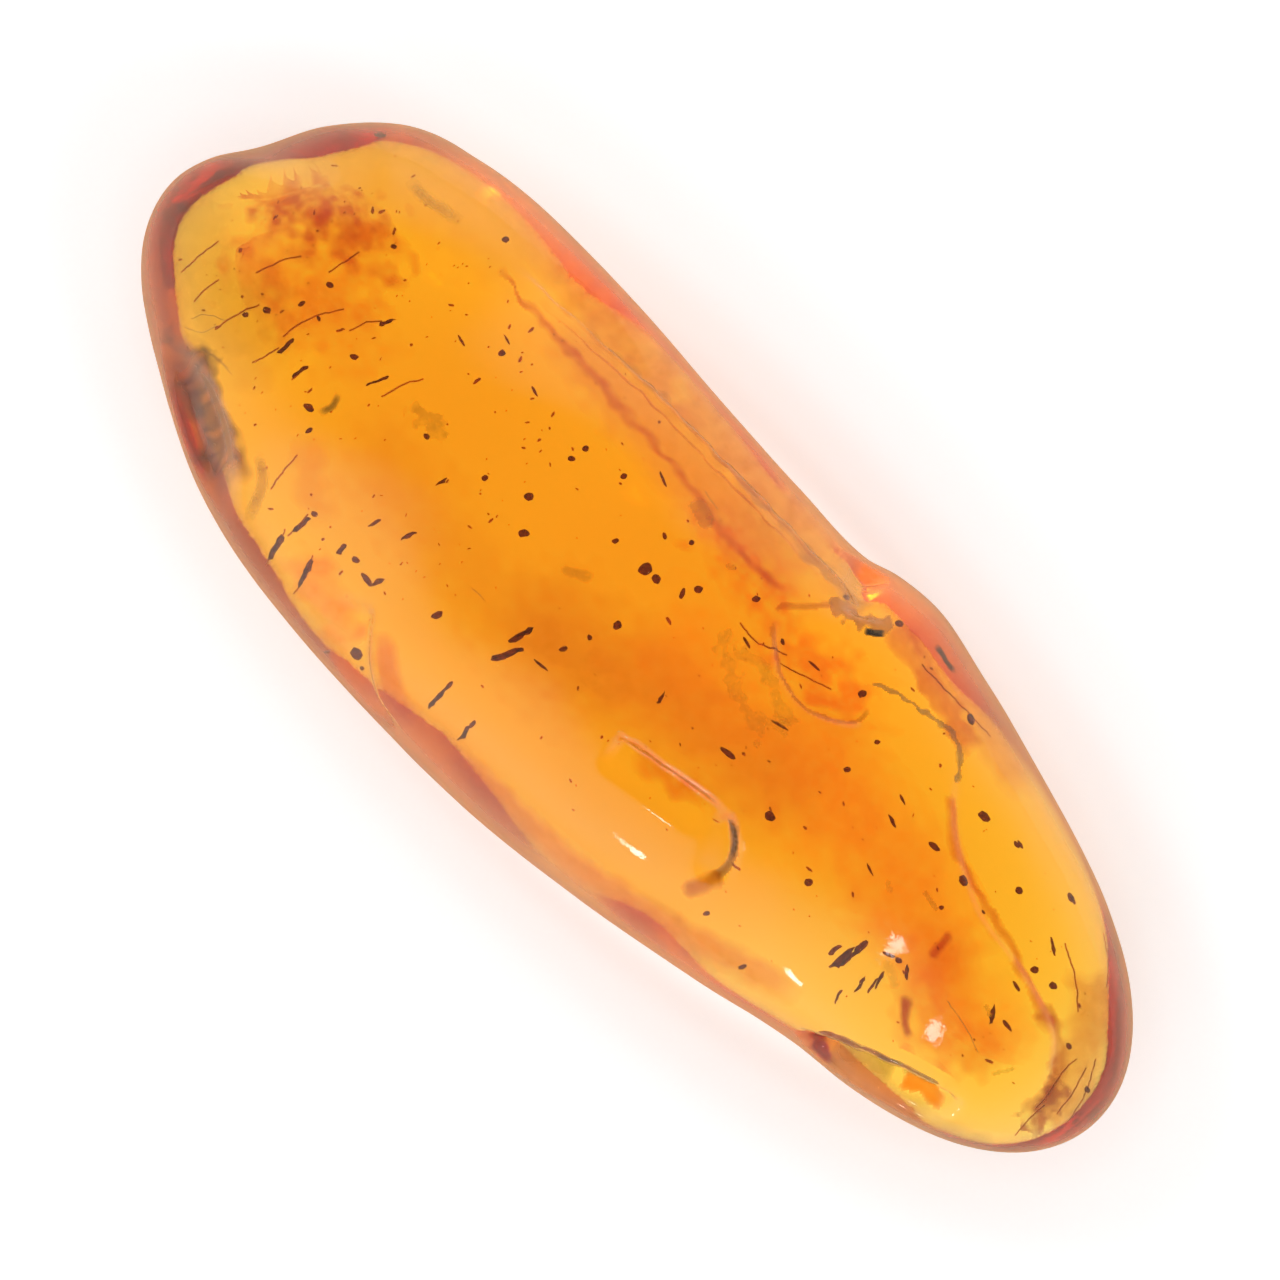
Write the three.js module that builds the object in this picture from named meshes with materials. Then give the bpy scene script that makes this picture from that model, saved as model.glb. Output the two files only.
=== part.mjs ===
// A tumbled amber pebble: one long rounded lump with a blunt end, a tapering tip and a worn
// resting flat underneath. Its flanks keep the ledges, hollows and steps where resin flows
// parted and chips broke away before the tumbling rounded them.
// Millimetres, +Z up. X runs along the pebble with the tip at +X, and the origin is on the
// resting flat, under the middle of the pebble.
import * as THREE from "three";
import { mergeVertices } from "three/addons/utils/BufferGeometryUtils.js";

// Driving dimensions of the lump
const length = 45;
const halfLength = length / 2;
const spineY = -0.2; // both ends lie this far off the middle line
const lean = 0.8; // the crest leans this far towards +Y
const boxiness = 0.86; // 1 gives elliptical sections, less gives fuller shoulders

// Each pair is a place along X and the size there. A reach or a height is given as a full
// ellipse of this length would need it, so it stays nearly even right up to the ends.
const rightReach = [
  [-22.5, 8], [-21.4, 9.6], [-20.2, 11.3], [-18.6, 12], [-15.7, 11.1], [-11.2, 9.65], [-6.7, 8.65],
  [-2.2, 8], [0, 7.85], [3.2, 7.95], [4.4, 8.4], [6.2, 8.75], [9, 8.6], [13.5, 8.4], [22.5, 9],
];
const leftReach = [
  [-22.5, 8.5], [-19, 8.3], [-14.5, 8.8], [-9, 8.5], [-4.5, 8.15], [0, 7.9], [4.5, 7.5], [9, 7.1],
  [13.3, 6.85], [15.7, 7.3], [18, 7.75], [22.5, 8.9],
];
const equatorHeight = [[-22.5, 5.2], [-12, 4.8], [0, 4.5], [12, 4.2], [22.5, 4]];
const topRise = [[-22.5, 7.6], [-18, 7], [-13, 6.4], [-6, 6.1], [3, 5.8], [12, 5.4], [22.5, 6]];
const underDrop = [[-22.5, 6.9], [-18, 6.3], [-12, 5.4], [0, 4.9], [11, 4.6], [18, 4.9], [22.5, 5.3]];

// Long low swells left by the tumbling: height, wave vector per millimetre, start of the wave
const swells = [
  { height: 0.16, wave: [0.42, 0.18, 0.1], start: 0.4 },
  { height: 0.11, wave: [-0.25, 0.62, 0.3], start: 1.9 },
  { height: 0.09, wave: [0.7, -0.45, 0.55], start: 3.1 },
];

// Hollows: middle in plan, direction of the long axis in degrees, half sizes and depth.
// A firm hollow has a wide floor and a crisp rim, the others fade out.
const hollows = {
  scarByBluntEnd: { at: [-15.9, -5.5], turn: -24, long: 3.4, wide: 1.7, depth: 0.5, firm: true },
  threeCorneredDent: { at: [4, -2.3], turn: 11, long: 2.6, wide: 1.3, depth: 0.45, firm: true },
  shellShapedChip: { at: [5, 4.9], turn: 15, long: 2.9, wide: 2.5, depth: 0.32, firm: true },
  facetOnLeftFlank: { at: [-9, -5.9], turn: -10, long: 4.4, wide: 2.6, depth: 0.3, firm: false },
  facetNearTip: { at: [14.6, -1.4], turn: -8, long: 5, wide: 3, depth: 0.25, firm: false },
  valleyBetweenEndLobes: { at: [-20.2, 3.7], turn: -8, long: 3.6, wide: 1.6, depth: 0.5, firm: false },
};

// Routes on the upper side, as plan points from one end to the other. A ledge drops on the
// left of its direction of travel and rises back over its width.
const ledges = {
  brokenLedgeOnRightFlank: {
    route: [[-12.5, 6.1], [-8.7, 6.5], [-4.4, 6.5], [0, 6.5], [4.6, 6.5]],
    drop: 0.34,
    width: 2.6,
  },
  edgeOfLastResinFlow: {
    route: [[9.9, 5.3], [11.9, 3.2], [14.4, 1.9], [17, 1.5], [19.4, 0.6], [20.5, -1.2]],
    drop: 0.24,
    width: 2.8,
  },
};

// A groove dips on both sides of its route
const grooves = {
  undercutLeftOfTip: { route: [[13.4, -5.2], [16.1, -4.6], [18.6, -3.8]], depth: 0.6, width: 0.75 },
  notchAtLedgeEnd: { route: [[4.6, 6], [3.8, 7], [3.5, 7.6]], depth: 0.4, width: 0.6 },
  endWallOfDent: { route: [[6.2, -1.7], [7, -2.7], [7.1, -3.9]], depth: 0.28, width: 0.5 },
};

// Fineness of the facets
const ringCount = 80;
const topSteps = 36;
const underSteps = 24;
const endCrowding = 0.12; // keeps the rings nearly evenly spaced along X
const routePoints = 40;
const searchTurns = 40;
const slopeStep = 0.001; // small turn for measuring how the surface slopes

function sizeAlong(pairs) {
  const places = pairs.map((pair) => pair[0]);
  const sizes = pairs.map((pair) => pair[1]);
  const curve = new THREE.CubicInterpolant(places, sizes, 1, new Float64Array(1));
  return (x) => curve.evaluate(x)[0];
}

const rightAt = sizeAlong(rightReach);
const leftAt = sizeAlong(leftReach);
const equatorAt = sizeAlong(equatorHeight);
const riseAt = sizeAlong(topRise);
const dropAt = sizeAlong(underDrop);

function fuller(value) {
  return Math.sign(value) * Math.abs(value) ** boxiness;
}

// The smooth lump: along runs from 0 at the blunt end to PI at the tip, and round from 0 at
// +Y over the crest at PI / 2
function lumpPoint(along, round) {
  const x = -halfLength * Math.cos(along);
  const swell = Math.sin(along);
  const middle = (rightAt(x) - leftAt(x)) / 2;
  const half = (rightAt(x) + leftAt(x)) / 2;
  const up = fuller(Math.sin(round));
  const crest = up > 0 ? lean * Math.sin(round) ** 2 : 0;
  const height = up > 0 ? riseAt(x) : dropAt(x);
  const y = spineY + swell * (middle + half * fuller(Math.cos(round)) + crest);
  const z = equatorAt(x) + swell * up * height;
  return new THREE.Vector3(x, y, z);
}

function lumpNormal(along, round) {
  if (Math.sin(along) < slopeStep) return new THREE.Vector3(-Math.sign(Math.cos(along)), 0, 0);
  const before = lumpPoint(along - slopeStep, round);
  const after = lumpPoint(along + slopeStep, round);
  const low = lumpPoint(along, round - slopeStep);
  const high = lumpPoint(along, round + slopeStep);
  return high.sub(low).cross(after.sub(before)).normalize();
}

// The place on the upper side above a plan point
function topPlace(x, y) {
  const along = Math.acos(-x / halfLength);
  let low = 0;
  let high = Math.PI;
  for (let turn = 0; turn < searchTurns; turn += 1) {
    const middle = (low + high) / 2;
    if (lumpPoint(along, middle).y > y) low = middle;
    else high = middle;
  }
  return { point: lumpPoint(along, low), normal: lumpNormal(along, low) };
}

function smooth(value, from, to) {
  return THREE.MathUtils.smoothstep(value, from, to);
}

// Each shaper gives how far its feature raises a place of the lump along the normal there
function swellShaper({ height, wave, start }) {
  const direction = new THREE.Vector3(...wave);
  return (place, normal) => height * Math.abs(normal.z) * Math.sin(direction.dot(place) + start);
}

function hollowShaper({ at, turn, long, wide, depth, firm }) {
  const { point, normal } = topPlace(...at);
  const angle = THREE.MathUtils.degToRad(turn);
  const heading = new THREE.Vector3(Math.cos(angle), Math.sin(angle), 0);
  const axis = heading.projectOnPlane(normal).normalize();
  const across = normal.clone().cross(axis);
  const [floorEdge, rim] = firm ? [0.45, 1] : [0, 1.3];
  return (place) => {
    const offset = place.clone().sub(point);
    const sideways = Math.hypot(offset.dot(axis) / long, offset.dot(across) / wide);
    const reach = Math.hypot(sideways, offset.dot(normal) / long);
    return -depth * (1 - smooth(reach, floorEdge, rim));
  };
}

function routeSpots(route) {
  const curve = new THREE.CatmullRomCurve3(route.map((spot) => topPlace(...spot).point));
  return curve.getSpacedPoints(routePoints).map((point, index) => {
    const share = index / routePoints;
    const fade = smooth(share, 0, 0.2) * (1 - smooth(share, 0.85, 1));
    const left = topPlace(point.x, point.y).normal.cross(curve.getTangentAt(share));
    return { point, left, fade };
  });
}

function nearestSpot(spots, place) {
  const gaps = spots.map((spot) => spot.point.distanceToSquared(place));
  return spots[gaps.indexOf(Math.min(...gaps))];
}

function ledgeShaper({ route, drop, width }) {
  const spots = routeSpots(route);
  const faceWidth = 0.3;
  return (place) => {
    const spot = nearestSpot(spots, place);
    const gap = spot.point.distanceTo(place);
    const side = place.clone().sub(spot.point).dot(spot.left);
    const face = smooth(side, -faceWidth, faceWidth);
    return -drop * spot.fade * face * (1 - smooth(gap, faceWidth, width));
  };
}

function grooveShaper({ route, depth, width }) {
  const spots = routeSpots(route);
  return (place) => {
    const spot = nearestSpot(spots, place);
    const gap = spot.point.distanceTo(place) / width;
    return -depth * spot.fade * Math.exp(-gap * gap);
  };
}

const shapers = [
  ...swells.map(swellShaper),
  ...Object.values(hollows).map(hollowShaper),
  ...Object.values(ledges).map(ledgeShaper),
  ...Object.values(grooves).map(grooveShaper),
];

// The lump's surface with every feature on it. Nothing reaches below the resting flat.
function pebblePoint(along, round) {
  const place = lumpPoint(along, round);
  const normal = lumpNormal(along, round);
  const raise = shapers.reduce((sum, shaper) => sum + shaper(place, normal), 0);
  place.addScaledVector(normal, raise);
  place.z = Math.max(place.z, 0);
  return place;
}

// A sphere's rings and steps are laid over the pebble, with closer steps on the upper side
function pebbleGeometry() {
  const aroundSteps = topSteps + underSteps;
  const topShare = topSteps / aroundSteps;
  const geometry = new THREE.SphereGeometry(1, aroundSteps, ringCount);
  const { position, uv } = geometry.attributes;
  for (let index = 0; index < position.count; index += 1) {
    const ring = Math.round((1 - uv.getY(index)) * ringCount) / ringCount;
    const along = Math.PI * (ring + endCrowding * Math.sin(2 * Math.PI * ring));
    const step = uv.getX(index);
    const topRound = Math.PI * (1 - step / topShare);
    const underRound = (Math.PI * (topShare - step)) / (1 - topShare);
    const place = pebblePoint(along, step <= topShare ? topRound : underRound);
    position.setXYZ(index, place.x, place.y, place.z);
  }
  geometry.deleteAttribute("normal");
  geometry.deleteAttribute("uv");
  return mergeVertices(geometry);
}

const amber = new THREE.MeshStandardMaterial({ color: 0xf2a012, roughness: 0.08, metalness: 0 });
const pebble = new THREE.Mesh(pebbleGeometry(), amber);
pebble.name = "amber_pebble";

const group = new THREE.Group();
group.add(pebble);

export default group;
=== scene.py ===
import itertools
import math

import bpy
import numpy as np
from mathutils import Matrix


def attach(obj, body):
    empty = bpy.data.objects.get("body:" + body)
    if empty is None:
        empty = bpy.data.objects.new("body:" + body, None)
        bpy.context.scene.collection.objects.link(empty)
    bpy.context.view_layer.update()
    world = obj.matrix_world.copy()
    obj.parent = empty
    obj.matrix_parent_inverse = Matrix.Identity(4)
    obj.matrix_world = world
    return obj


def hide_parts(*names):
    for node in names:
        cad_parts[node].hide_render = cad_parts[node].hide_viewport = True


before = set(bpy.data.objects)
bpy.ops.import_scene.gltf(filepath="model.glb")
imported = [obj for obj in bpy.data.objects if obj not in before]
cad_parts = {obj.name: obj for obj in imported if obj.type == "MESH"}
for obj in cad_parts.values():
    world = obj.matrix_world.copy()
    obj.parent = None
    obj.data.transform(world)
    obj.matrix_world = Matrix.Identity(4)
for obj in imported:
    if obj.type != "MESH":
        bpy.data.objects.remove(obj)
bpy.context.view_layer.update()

mm = 0.001  # sizes below are in millimetres, Blender's own are in metres
print("frame loaded:", list(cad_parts))


# Photo, camera and the plan

photo = {
    "side": 1280,              # pixels along each side of the picture
    "pixel": 0.03416,          # millimetres that a pixel covers at the pebble's widest line
    "turn": 45.5,              # the pebble's long axis, degrees down from the picture's right
    "middle": (-0.21, 0.18),   # plan point at the middle of the picture
    "widestHeight": 4.5,
    "distance": 330.0,
    "sensor": 36.0,
}
turnCos = math.cos(math.radians(photo["turn"]))
turnSin = math.sin(math.radians(photo["turn"]))


def planOf(pixelX, pixelY):
    right = (pixelX - photo["side"] / 2) * photo["pixel"]
    down = (pixelY - photo["side"] / 2) * photo["pixel"]
    x = photo["middle"][0] + right * turnCos + down * turnSin
    y = photo["middle"][1] + right * turnSin - down * turnCos
    return x, y


def planRoute(*pixels):
    return [planOf(*pixel) for pixel in pixels]


def makeCamera():
    data = bpy.data.cameras.new("photoCamera")
    data.sensor_width = photo["sensor"]
    data.lens = photo["sensor"] * photo["distance"] / (photo["side"] * photo["pixel"])
    data.clip_start = 0.01
    data.clip_end = 20.0
    camera = bpy.data.objects.new("photoCamera", data)
    bpy.context.collection.objects.link(camera)
    x, y = photo["middle"]
    camera.location = (x * mm, y * mm, (photo["widestHeight"] + photo["distance"]) * mm)
    camera.rotation_euler = (0.0, 0.0, math.radians(photo["turn"]))
    bpy.context.scene.camera = camera


# Studio

studio = {
    "floorHalf": 3000.0,
    "floorGap": 0.03,
    "floorTone": (0.9, 0.89, 0.895, 1.0),
    "floorRoughness": 0.8,
    "floorGlow": 0.62,         # the paper lies on a lit table
    # long and wide reach of the painted shade round the pebble
    "shadowReach": (22.6, 8.4),
    # painted light and shade on the floor: brighter under the pebble, a warm darker ring of painted shadow
    # round it, even further out
    "paintedLightAndShadowRing": [  # share of four shadow reaches from the middle, and how much light comes up there
        (0.0, (1.08, 1.08, 1.08)), (0.2, (1.08, 1.08, 1.08)), (0.25, (0.8, 0.73, 0.7)),
        (0.28, (0.86, 0.82, 0.8)), (0.34, (0.97, 0.955, 0.955)), (0.46, (1.06, 1.055, 1.06)),
    ],
    "zenith": 0.12,
    "horizon": 0.75,
    "fade": (0.1, 0.9),        # heights between which the sky goes from horizon to zenith
    "bounces": 8,
    "diffuseBounces": 3,
    "transparentBounces": 32,
    "exposure": 0.2,
    "glows": {  # where the light comes from, angle of its full part and of its edge, brightness
        "keyGlow": ((0.1, -0.85, 0.52), 6.0, 40.0, 0.7),
        "fillGlow": ((-0.35, 0.75, 0.5), 6.0, 34.0, 0.4),
        "tallWindow": ((0.335, -0.869, 0.365), 1.0, 2.4, 16.0),
        "skyWindow": ((0.334, -0.504, 0.797), 0.8, 2.0, 9.0),
    },
}


def newMaterial(name):
    material = bpy.data.materials.new(name)
    material.use_nodes = True
    material.node_tree.nodes.clear()
    return material, material.node_tree


def unit(vectors):
    return vectors / np.maximum(np.linalg.norm(vectors, axis=-1, keepdims=True), 1e-12)


def addNode(tree, kind, inputs=None, **settings):
    # a new node, each of its inputs joined to a socket or set to a plain value
    node = tree.nodes.new(kind)
    for label, value in settings.items():
        setattr(node, label, value)
    for label, value in (inputs or {}).items():
        if isinstance(value, bpy.types.NodeSocket):
            tree.links.new(value, node.inputs[label])
        else:
            node.inputs[label].default_value = value
    return node


def mapRange(tree, value, low, high, toLow=0.0, toHigh=1.0, kind="SMOOTHSTEP"):
    ends = {"Value": value, "From Min": low, "From Max": high, "To Min": toLow, "To Max": toHigh}
    return addNode(tree, "ShaderNodeMapRange", ends, interpolation_type=kind).outputs[0]


def vectorMath(tree, operation, first, second=None):
    inputs = {0: first}
    if second is not None:
        inputs["Scale" if operation == "SCALE" else 1] = second
    node = addNode(tree, "ShaderNodeVectorMath", inputs, operation=operation)
    return node.outputs["Value" if operation in ("LENGTH", "DOT_PRODUCT") else "Vector"]


def mixColour(tree, share, first, second):
    ends = [(*value, 1.0) if isinstance(value, tuple) else value for value in (first, second)]
    return addNode(tree, "ShaderNodeMix", {0: share, 6: ends[0], 7: ends[1]}, data_type="RGBA").outputs[2]


def colourRamp(tree, value, stops, kind="LINEAR"):
    node = addNode(tree, "ShaderNodeValToRGB", {"Fac": value})
    ramp = node.color_ramp
    ramp.interpolation = kind
    while len(ramp.elements) < len(stops):
        ramp.elements.new(0.5)
    for element, (place, colour) in zip(ramp.elements, stops):
        element.position = place
        element.color = (*colour, 1.0)
    return node.outputs["Color"]


def makeFloor():
    half = studio["floorHalf"] * mm
    z = -studio["floorGap"] * mm
    mesh = bpy.data.meshes.new("floor")
    corners = [(-half, -half, z), (half, -half, z), (half, half, z), (-half, half, z)]
    mesh.from_pydata(corners, [], [(0, 1, 2, 3)])
    floor = bpy.data.objects.new("floor", mesh)
    bpy.context.collection.objects.link(floor)
    material, tree = newMaterial("paperFloor")
    coords = addNode(tree, "ShaderNodeTexCoord")
    shrink = [1 / (4 * reach * mm) for reach in studio["shadowReach"]] + [0.0]
    away = vectorMath(tree, "LENGTH", vectorMath(tree, "MULTIPLY", coords.outputs["Object"], shrink))
    # the floor's light is painted by place: brighter under the pebble, with a ring of painted shadow round
    # it
    paper = addNode(tree, "ShaderNodeBsdfPrincipled", {
        "Base Color": studio["floorTone"], "Roughness": studio["floorRoughness"],
        "Emission Color": colourRamp(tree, away, studio["paintedLightAndShadowRing"], kind="EASE"),
        "Emission Strength": studio["floorGlow"],
    })
    addNode(tree, "ShaderNodeOutputMaterial", {"Surface": paper.outputs[0]})
    material.cycles.emission_sampling = "NONE"  # rays find so large a floor without aiming
    mesh.materials.append(material)


def makeWorld():
    world = bpy.data.worlds.new("studioSky")
    bpy.context.scene.world = world
    world.cycles.sampling_method = "NONE"  # the sky is so even that aimed sampling only costs time
    world.use_nodes = True
    tree = world.node_tree
    tree.nodes.clear()
    seen = addNode(tree, "ShaderNodeTexCoord").outputs["Generated"]
    split = addNode(tree, "ShaderNodeSeparateXYZ", {0: seen})
    total = mapRange(tree, split.outputs["Z"], *studio["fade"], studio["horizon"], studio["zenith"])
    for toward, fullAngle, edgeAngle, brightness in studio["glows"].values():
        facing = vectorMath(tree, "DOT_PRODUCT", seen, unit(np.array(toward)))
        edge, full = (math.cos(math.radians(angle)) for angle in (edgeAngle, fullAngle))
        glow = mapRange(tree, facing, edge, full, 0.0, brightness, kind="SMOOTHERSTEP")
        total = addNode(tree, "ShaderNodeMath", {0: total, 1: glow}).outputs[0]
    backdrop = addNode(tree, "ShaderNodeBackground", {"Color": (1.0, 1.0, 1.0, 1.0), "Strength": total})
    addNode(tree, "ShaderNodeOutputWorld", {"Surface": backdrop.outputs[0]})


makeCamera()
makeFloor()
makeWorld()
scene = bpy.context.scene
scene.view_settings.view_transform = "Standard"
scene.view_settings.exposure = studio["exposure"]
scene.cycles.max_bounces = studio["bounces"]
scene.cycles.transmission_bounces = studio["bounces"]
scene.cycles.diffuse_bounces = studio["diffuseBounces"]
scene.cycles.glossy_bounces = studio["bounces"]
scene.cycles.transparent_max_bounces = studio["transparentBounces"]
scene.cycles.use_denoising = True
print("studio ready")


# The lump of amber

lump = {
    "length": 45.0,
    "spineY": -0.2,
    "lean": 0.8,
    "boxiness": 0.86,
    "endCrowding": 0.12,
    "rings": 380,
    "topSteps": 168,
    "underSteps": 80,
    "searchTurns": 40,
    "rightReach": [
        (-22.5, 8.0), (-21.4, 9.6), (-20.2, 11.3), (-18.6, 12.0), (-15.7, 11.1), (-11.2, 9.65),
        (-6.7, 8.65), (-2.2, 8.0), (0.0, 7.85), (3.2, 7.95), (4.4, 8.4), (6.2, 8.75), (9.0, 8.6),
        (13.5, 8.4), (22.5, 9.0),
    ],
    "leftReach": [
        (-22.5, 8.5), (-19.0, 8.3), (-14.5, 8.8), (-9.0, 8.5), (-4.5, 8.15), (0.0, 7.9), (4.5, 7.5),
        (9.0, 7.1), (13.3, 6.85), (15.7, 7.3), (18.0, 7.75), (22.5, 8.9),
    ],
    "equator": [(-22.5, 5.2), (-12.0, 4.8), (0.0, 4.5), (12.0, 4.2), (22.5, 4.0)],
    "rise": [(-22.5, 7.6), (-18.0, 7.0), (-13.0, 6.4), (-6.0, 6.1), (3.0, 5.8), (12.0, 5.4), (22.5, 6.0)],
    "drop": [(-22.5, 6.9), (-18.0, 6.3), (-12.0, 5.4), (0.0, 4.9), (11.0, 4.6), (18.0, 4.9), (22.5, 5.3)],
}
relief = {
    "swells": [  # height, wave vector per millimetre, start
        (0.16, (0.42, 0.18, 0.1), 0.4),
        (0.11, (-0.25, 0.62, 0.3), 1.9),
        (0.09, (0.7, -0.45, 0.55), 3.1),
    ],
    "ripples": [(0.03, 4.2, 11), (0.009, 1.3, 12)],  # height, size, seed of the tumbled skin's unevenness
    "hollows": {  # plan point, turn, half length, half width, depth, firm
        "scarByBluntEnd": ((-15.9, -5.5), -24.0, 3.4, 1.7, 0.4, True),
        "facetOnLeftFlank": ((-9.0, -5.9), -10.0, 4.4, 2.6, 0.3, False),
        "facetNearTip": ((14.6, -1.4), -8.0, 5.0, 3.0, 0.25, False),
        "valleyBetweenEndLobes": ((-20.2, 3.7), -8.0, 3.6, 1.6, 0.5, False),
    },
    "ledges": {  # route, drop on its left, width of the fall, width of the step's face, unevenness
        "brokenLedge": ([(-12.5, 6.1), (-8.7, 6.5), (-4.4, 6.5), (0.0, 6.5), (4.6, 6.5)],
                        0.34, 2.6, 0.1, 0.12),
        "lastResinFlow": ([(9.9, 5.3), (11.9, 3.2), (14.4, 1.9), (17.0, 1.5), (19.4, 0.6), (20.5, -1.2)],
                         0.16, 2.8, 0.14, 0.03),
        "dentEdge": (planRoute((726, 810), (700, 790), (655, 758), (612, 730)), 0.42, 1.5, 0.09, 0.04),
        "dentEnd": (planRoute((700, 882), (725, 870), (734, 840), (728, 806)), 0.3, 1.3, 0.09, 0.04),
        "shellChip": (planRoute((774, 612), (775, 660), (800, 705), (830, 720), (860, 722), (876, 695)),
                     0.13, 2.2, 0.1, 0.03),
        "tipUndercut": (planRoute((962, 1100), (915, 1075), (850, 1048), (795, 1030)),
                        0.8, 1.8, 0.12, 0.05),
        "leftFacet": (planRoute((402, 732), (375, 690), (368, 650), (374, 605)), 0.24, 1.8, 0.12, 0.03),
    },
    "grooves": {  # route, depth, width
        "notchAtLedgeEnd": ([(4.6, 6.0), (3.8, 7.0), (3.5, 7.6)], 0.4, 0.6),
    },
    "firmRim": (0.35, 1.0),  # shares of a hollow's size where its floor and its rim end
    "softRim": (0.0, 1.3),
    "ledgeCell": 0.55,       # size of the unevenness of a ledge
    "routeFades": (0.2, 0.85),
    "restBlend": 0.05,
}
noiseSide = 24


def wavering(points, cell, seed):
    # smooth random field from -1 to 1 whose lumps are about a cell wide
    table = np.random.default_rng(seed).uniform(-1.0, 1.0, (noiseSide, noiseSide, noiseSide))
    scaled = points / cell
    base = np.floor(scaled).astype(int)
    share = scaled - base
    share = share * share * (3 - 2 * share)
    total = np.zeros(points.shape[:-1])
    for corner in itertools.product((0, 1), repeat=3):
        weight = np.where(np.array(corner) == 1, share, 1 - share).prod(axis=-1)
        spot = (base + np.array(corner)) % noiseSide
        total += weight * table[spot[..., 0], spot[..., 1], spot[..., 2]]
    return total


def curveAlong(places, values):
    # smooth curve through the values, with each slope the mean of its two neighbours'
    places = np.array(places, float)
    values = np.array(values, float)
    spans = np.diff(places)
    rises = np.diff(values) / spans
    slopes = np.concatenate([rises[:1], (rises[:-1] + rises[1:]) / 2, rises[-1:]])

    def valueAt(x):
        x = np.asarray(x, float)
        i = np.clip(np.searchsorted(places, x) - 1, 0, len(spans) - 1)
        t = np.clip((x - places[i]) / spans[i], 0.0, 1.0)
        start = values[i] * (1 + 2 * t) * (1 - t) ** 2 + slopes[i] * spans[i] * t * (1 - t) ** 2
        end = values[i + 1] * t * t * (3 - 2 * t) + slopes[i + 1] * spans[i] * t * t * (t - 1)
        return start + end

    return valueAt


def sizeAlong(name):
    return curveAlong([pair[0] for pair in lump[name]], [pair[1] for pair in lump[name]])


rightAt = sizeAlong("rightReach")
leftAt = sizeAlong("leftReach")
equatorAt = sizeAlong("equator")
riseAt = sizeAlong("rise")
dropAt = sizeAlong("drop")


def fuller(value):
    return np.sign(value) * np.abs(value) ** lump["boxiness"]


def lumpPoint(along, around):
    x = -lump["length"] / 2 * np.cos(along)
    swell = np.sin(along)
    middle = (rightAt(x) - leftAt(x)) / 2
    half = (rightAt(x) + leftAt(x)) / 2
    up = fuller(np.sin(around))
    crest = np.where(up > 0, lump["lean"] * np.sin(around) ** 2, 0.0)
    height = np.where(up > 0, riseAt(x), dropAt(x))
    y = lump["spineY"] + swell * (middle + half * fuller(np.cos(around)) + crest)
    z = equatorAt(x) + swell * up * height
    return np.stack([x + 0 * y, y, z], axis=-1)


def lumpNormal(along, around, step=0.001):
    lengthwise = lumpPoint(along + step, around) - lumpPoint(along - step, around)
    crosswise = lumpPoint(along, around + step) - lumpPoint(along, around - step)
    normal = unit(np.cross(crosswise, lengthwise))
    atEnd = np.sin(along) < step
    endNormal = np.stack([-np.sign(np.cos(along)), 0 * along, 0 * along], axis=-1)
    return np.where(atEnd[..., None], endNormal, normal)


def topPlace(x, y):
    # the place on the upper side above a plan point
    x = np.asarray(x, float)
    y = np.asarray(y, float)
    along = np.arccos(np.clip(-x / (lump["length"] / 2), -1, 1))
    low = np.zeros_like(along)
    high = np.full_like(along, math.pi)
    for turn in range(lump["searchTurns"]):
        middle = (low + high) / 2
        beyond = lumpPoint(along, middle)[..., 1] > y
        low = np.where(beyond, middle, low)
        high = np.where(beyond, high, middle)
    return lumpPoint(along, low), lumpNormal(along, low)


def smooth(value, start, end):
    t = np.clip((value - start) / (end - start), 0.0, 1.0)
    return t * t * (3 - 2 * t)


def smoothRoute(route, count):
    route = np.array(route, float)
    steps = np.concatenate([[0.0], np.cumsum(np.linalg.norm(np.diff(route, axis=0), axis=1))])
    share = np.linspace(0.0, steps[-1], count)
    return np.stack([curveAlong(steps, route[:, i])(share) for i in range(route.shape[1])], axis=-1)


def routeSpots(route, count=80):
    plan = smoothRoute(route, count)
    points, normals = topPlace(plan[:, 0], plan[:, 1])
    lefts = np.cross(normals, unit(np.gradient(points, axis=0)))
    share = np.linspace(0.0, 1.0, count)
    fadeIn, fadeOut = relief["routeFades"]
    fades = smooth(share, 0.0, fadeIn) * (1 - smooth(share, fadeOut, 1.0))
    return points, lefts, fades


def nearest(points, places):
    best = np.full(len(places), 1e9)
    index = np.zeros(len(places), int)
    for i, point in enumerate(points):
        gap = ((places - point) ** 2).sum(axis=1)
        closer = gap < best
        best = np.where(closer, gap, best)
        index = np.where(closer, i, index)
    return index, np.sqrt(best)


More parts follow.
